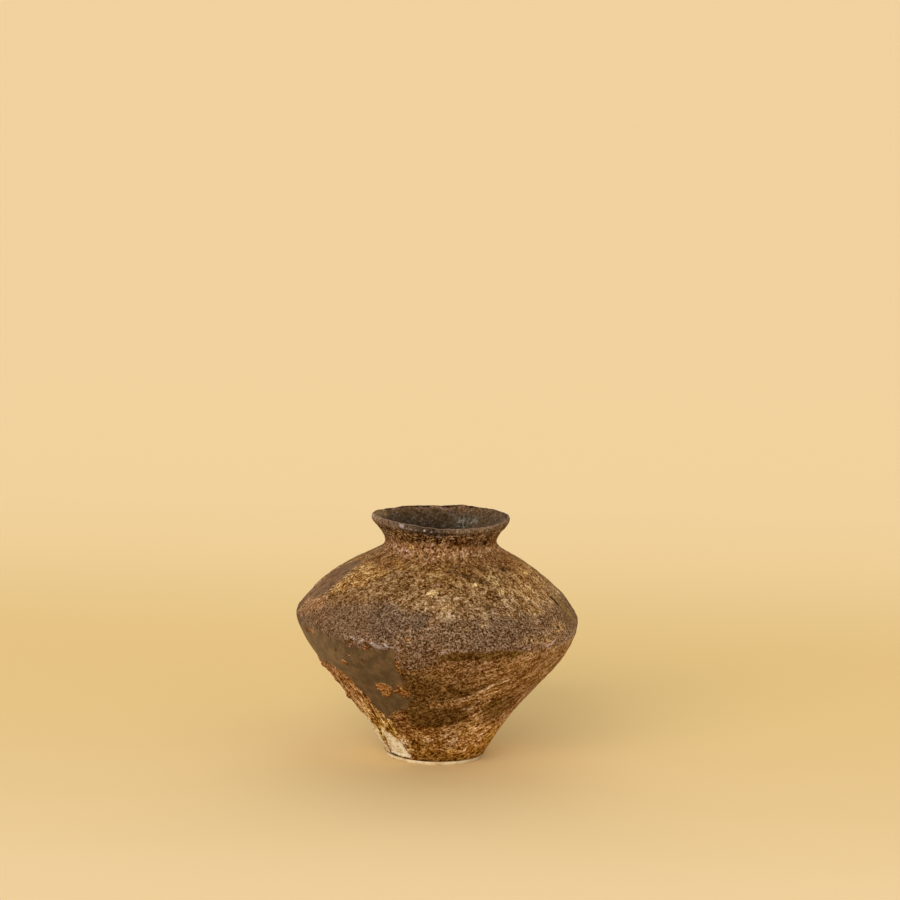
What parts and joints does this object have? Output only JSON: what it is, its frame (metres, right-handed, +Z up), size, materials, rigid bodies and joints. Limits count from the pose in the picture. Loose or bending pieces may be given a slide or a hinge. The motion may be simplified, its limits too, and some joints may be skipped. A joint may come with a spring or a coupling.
{
  "type": "ceramic pot",
  "caption": "Hand-built stoneware pot: an inverted cone and a domed shoulder meet at a sharp keel, under a short neck with a flared lip; holds dry stems or stands as an ornament.",
  "frame": {"origin": "centre of the underside, on the surface that the pot stands on", "axes": "+Z up along the axis of the pot; -Y towards the camera of the picture, +X to its right"},
  "size_m": [0.1642, 0.1643, 0.1426],
  "materials": {
    "bare_clay": "unglazed pale stoneware, dry and matte",
    "slip_crust": "granular rust and ochre slip crust with satin dark glaze pools",
    "dark_slip": "dark purplish brown slip, satin"
  },
  "bodies": {
    "root": {"foot_disc": "bare_clay", "lower_wall": "slip_crust", "shoulder_wall": "slip_crust", "neck_collar": "slip_crust", "lip_coil": "dark_slip"}
  },
  "joints": []
}
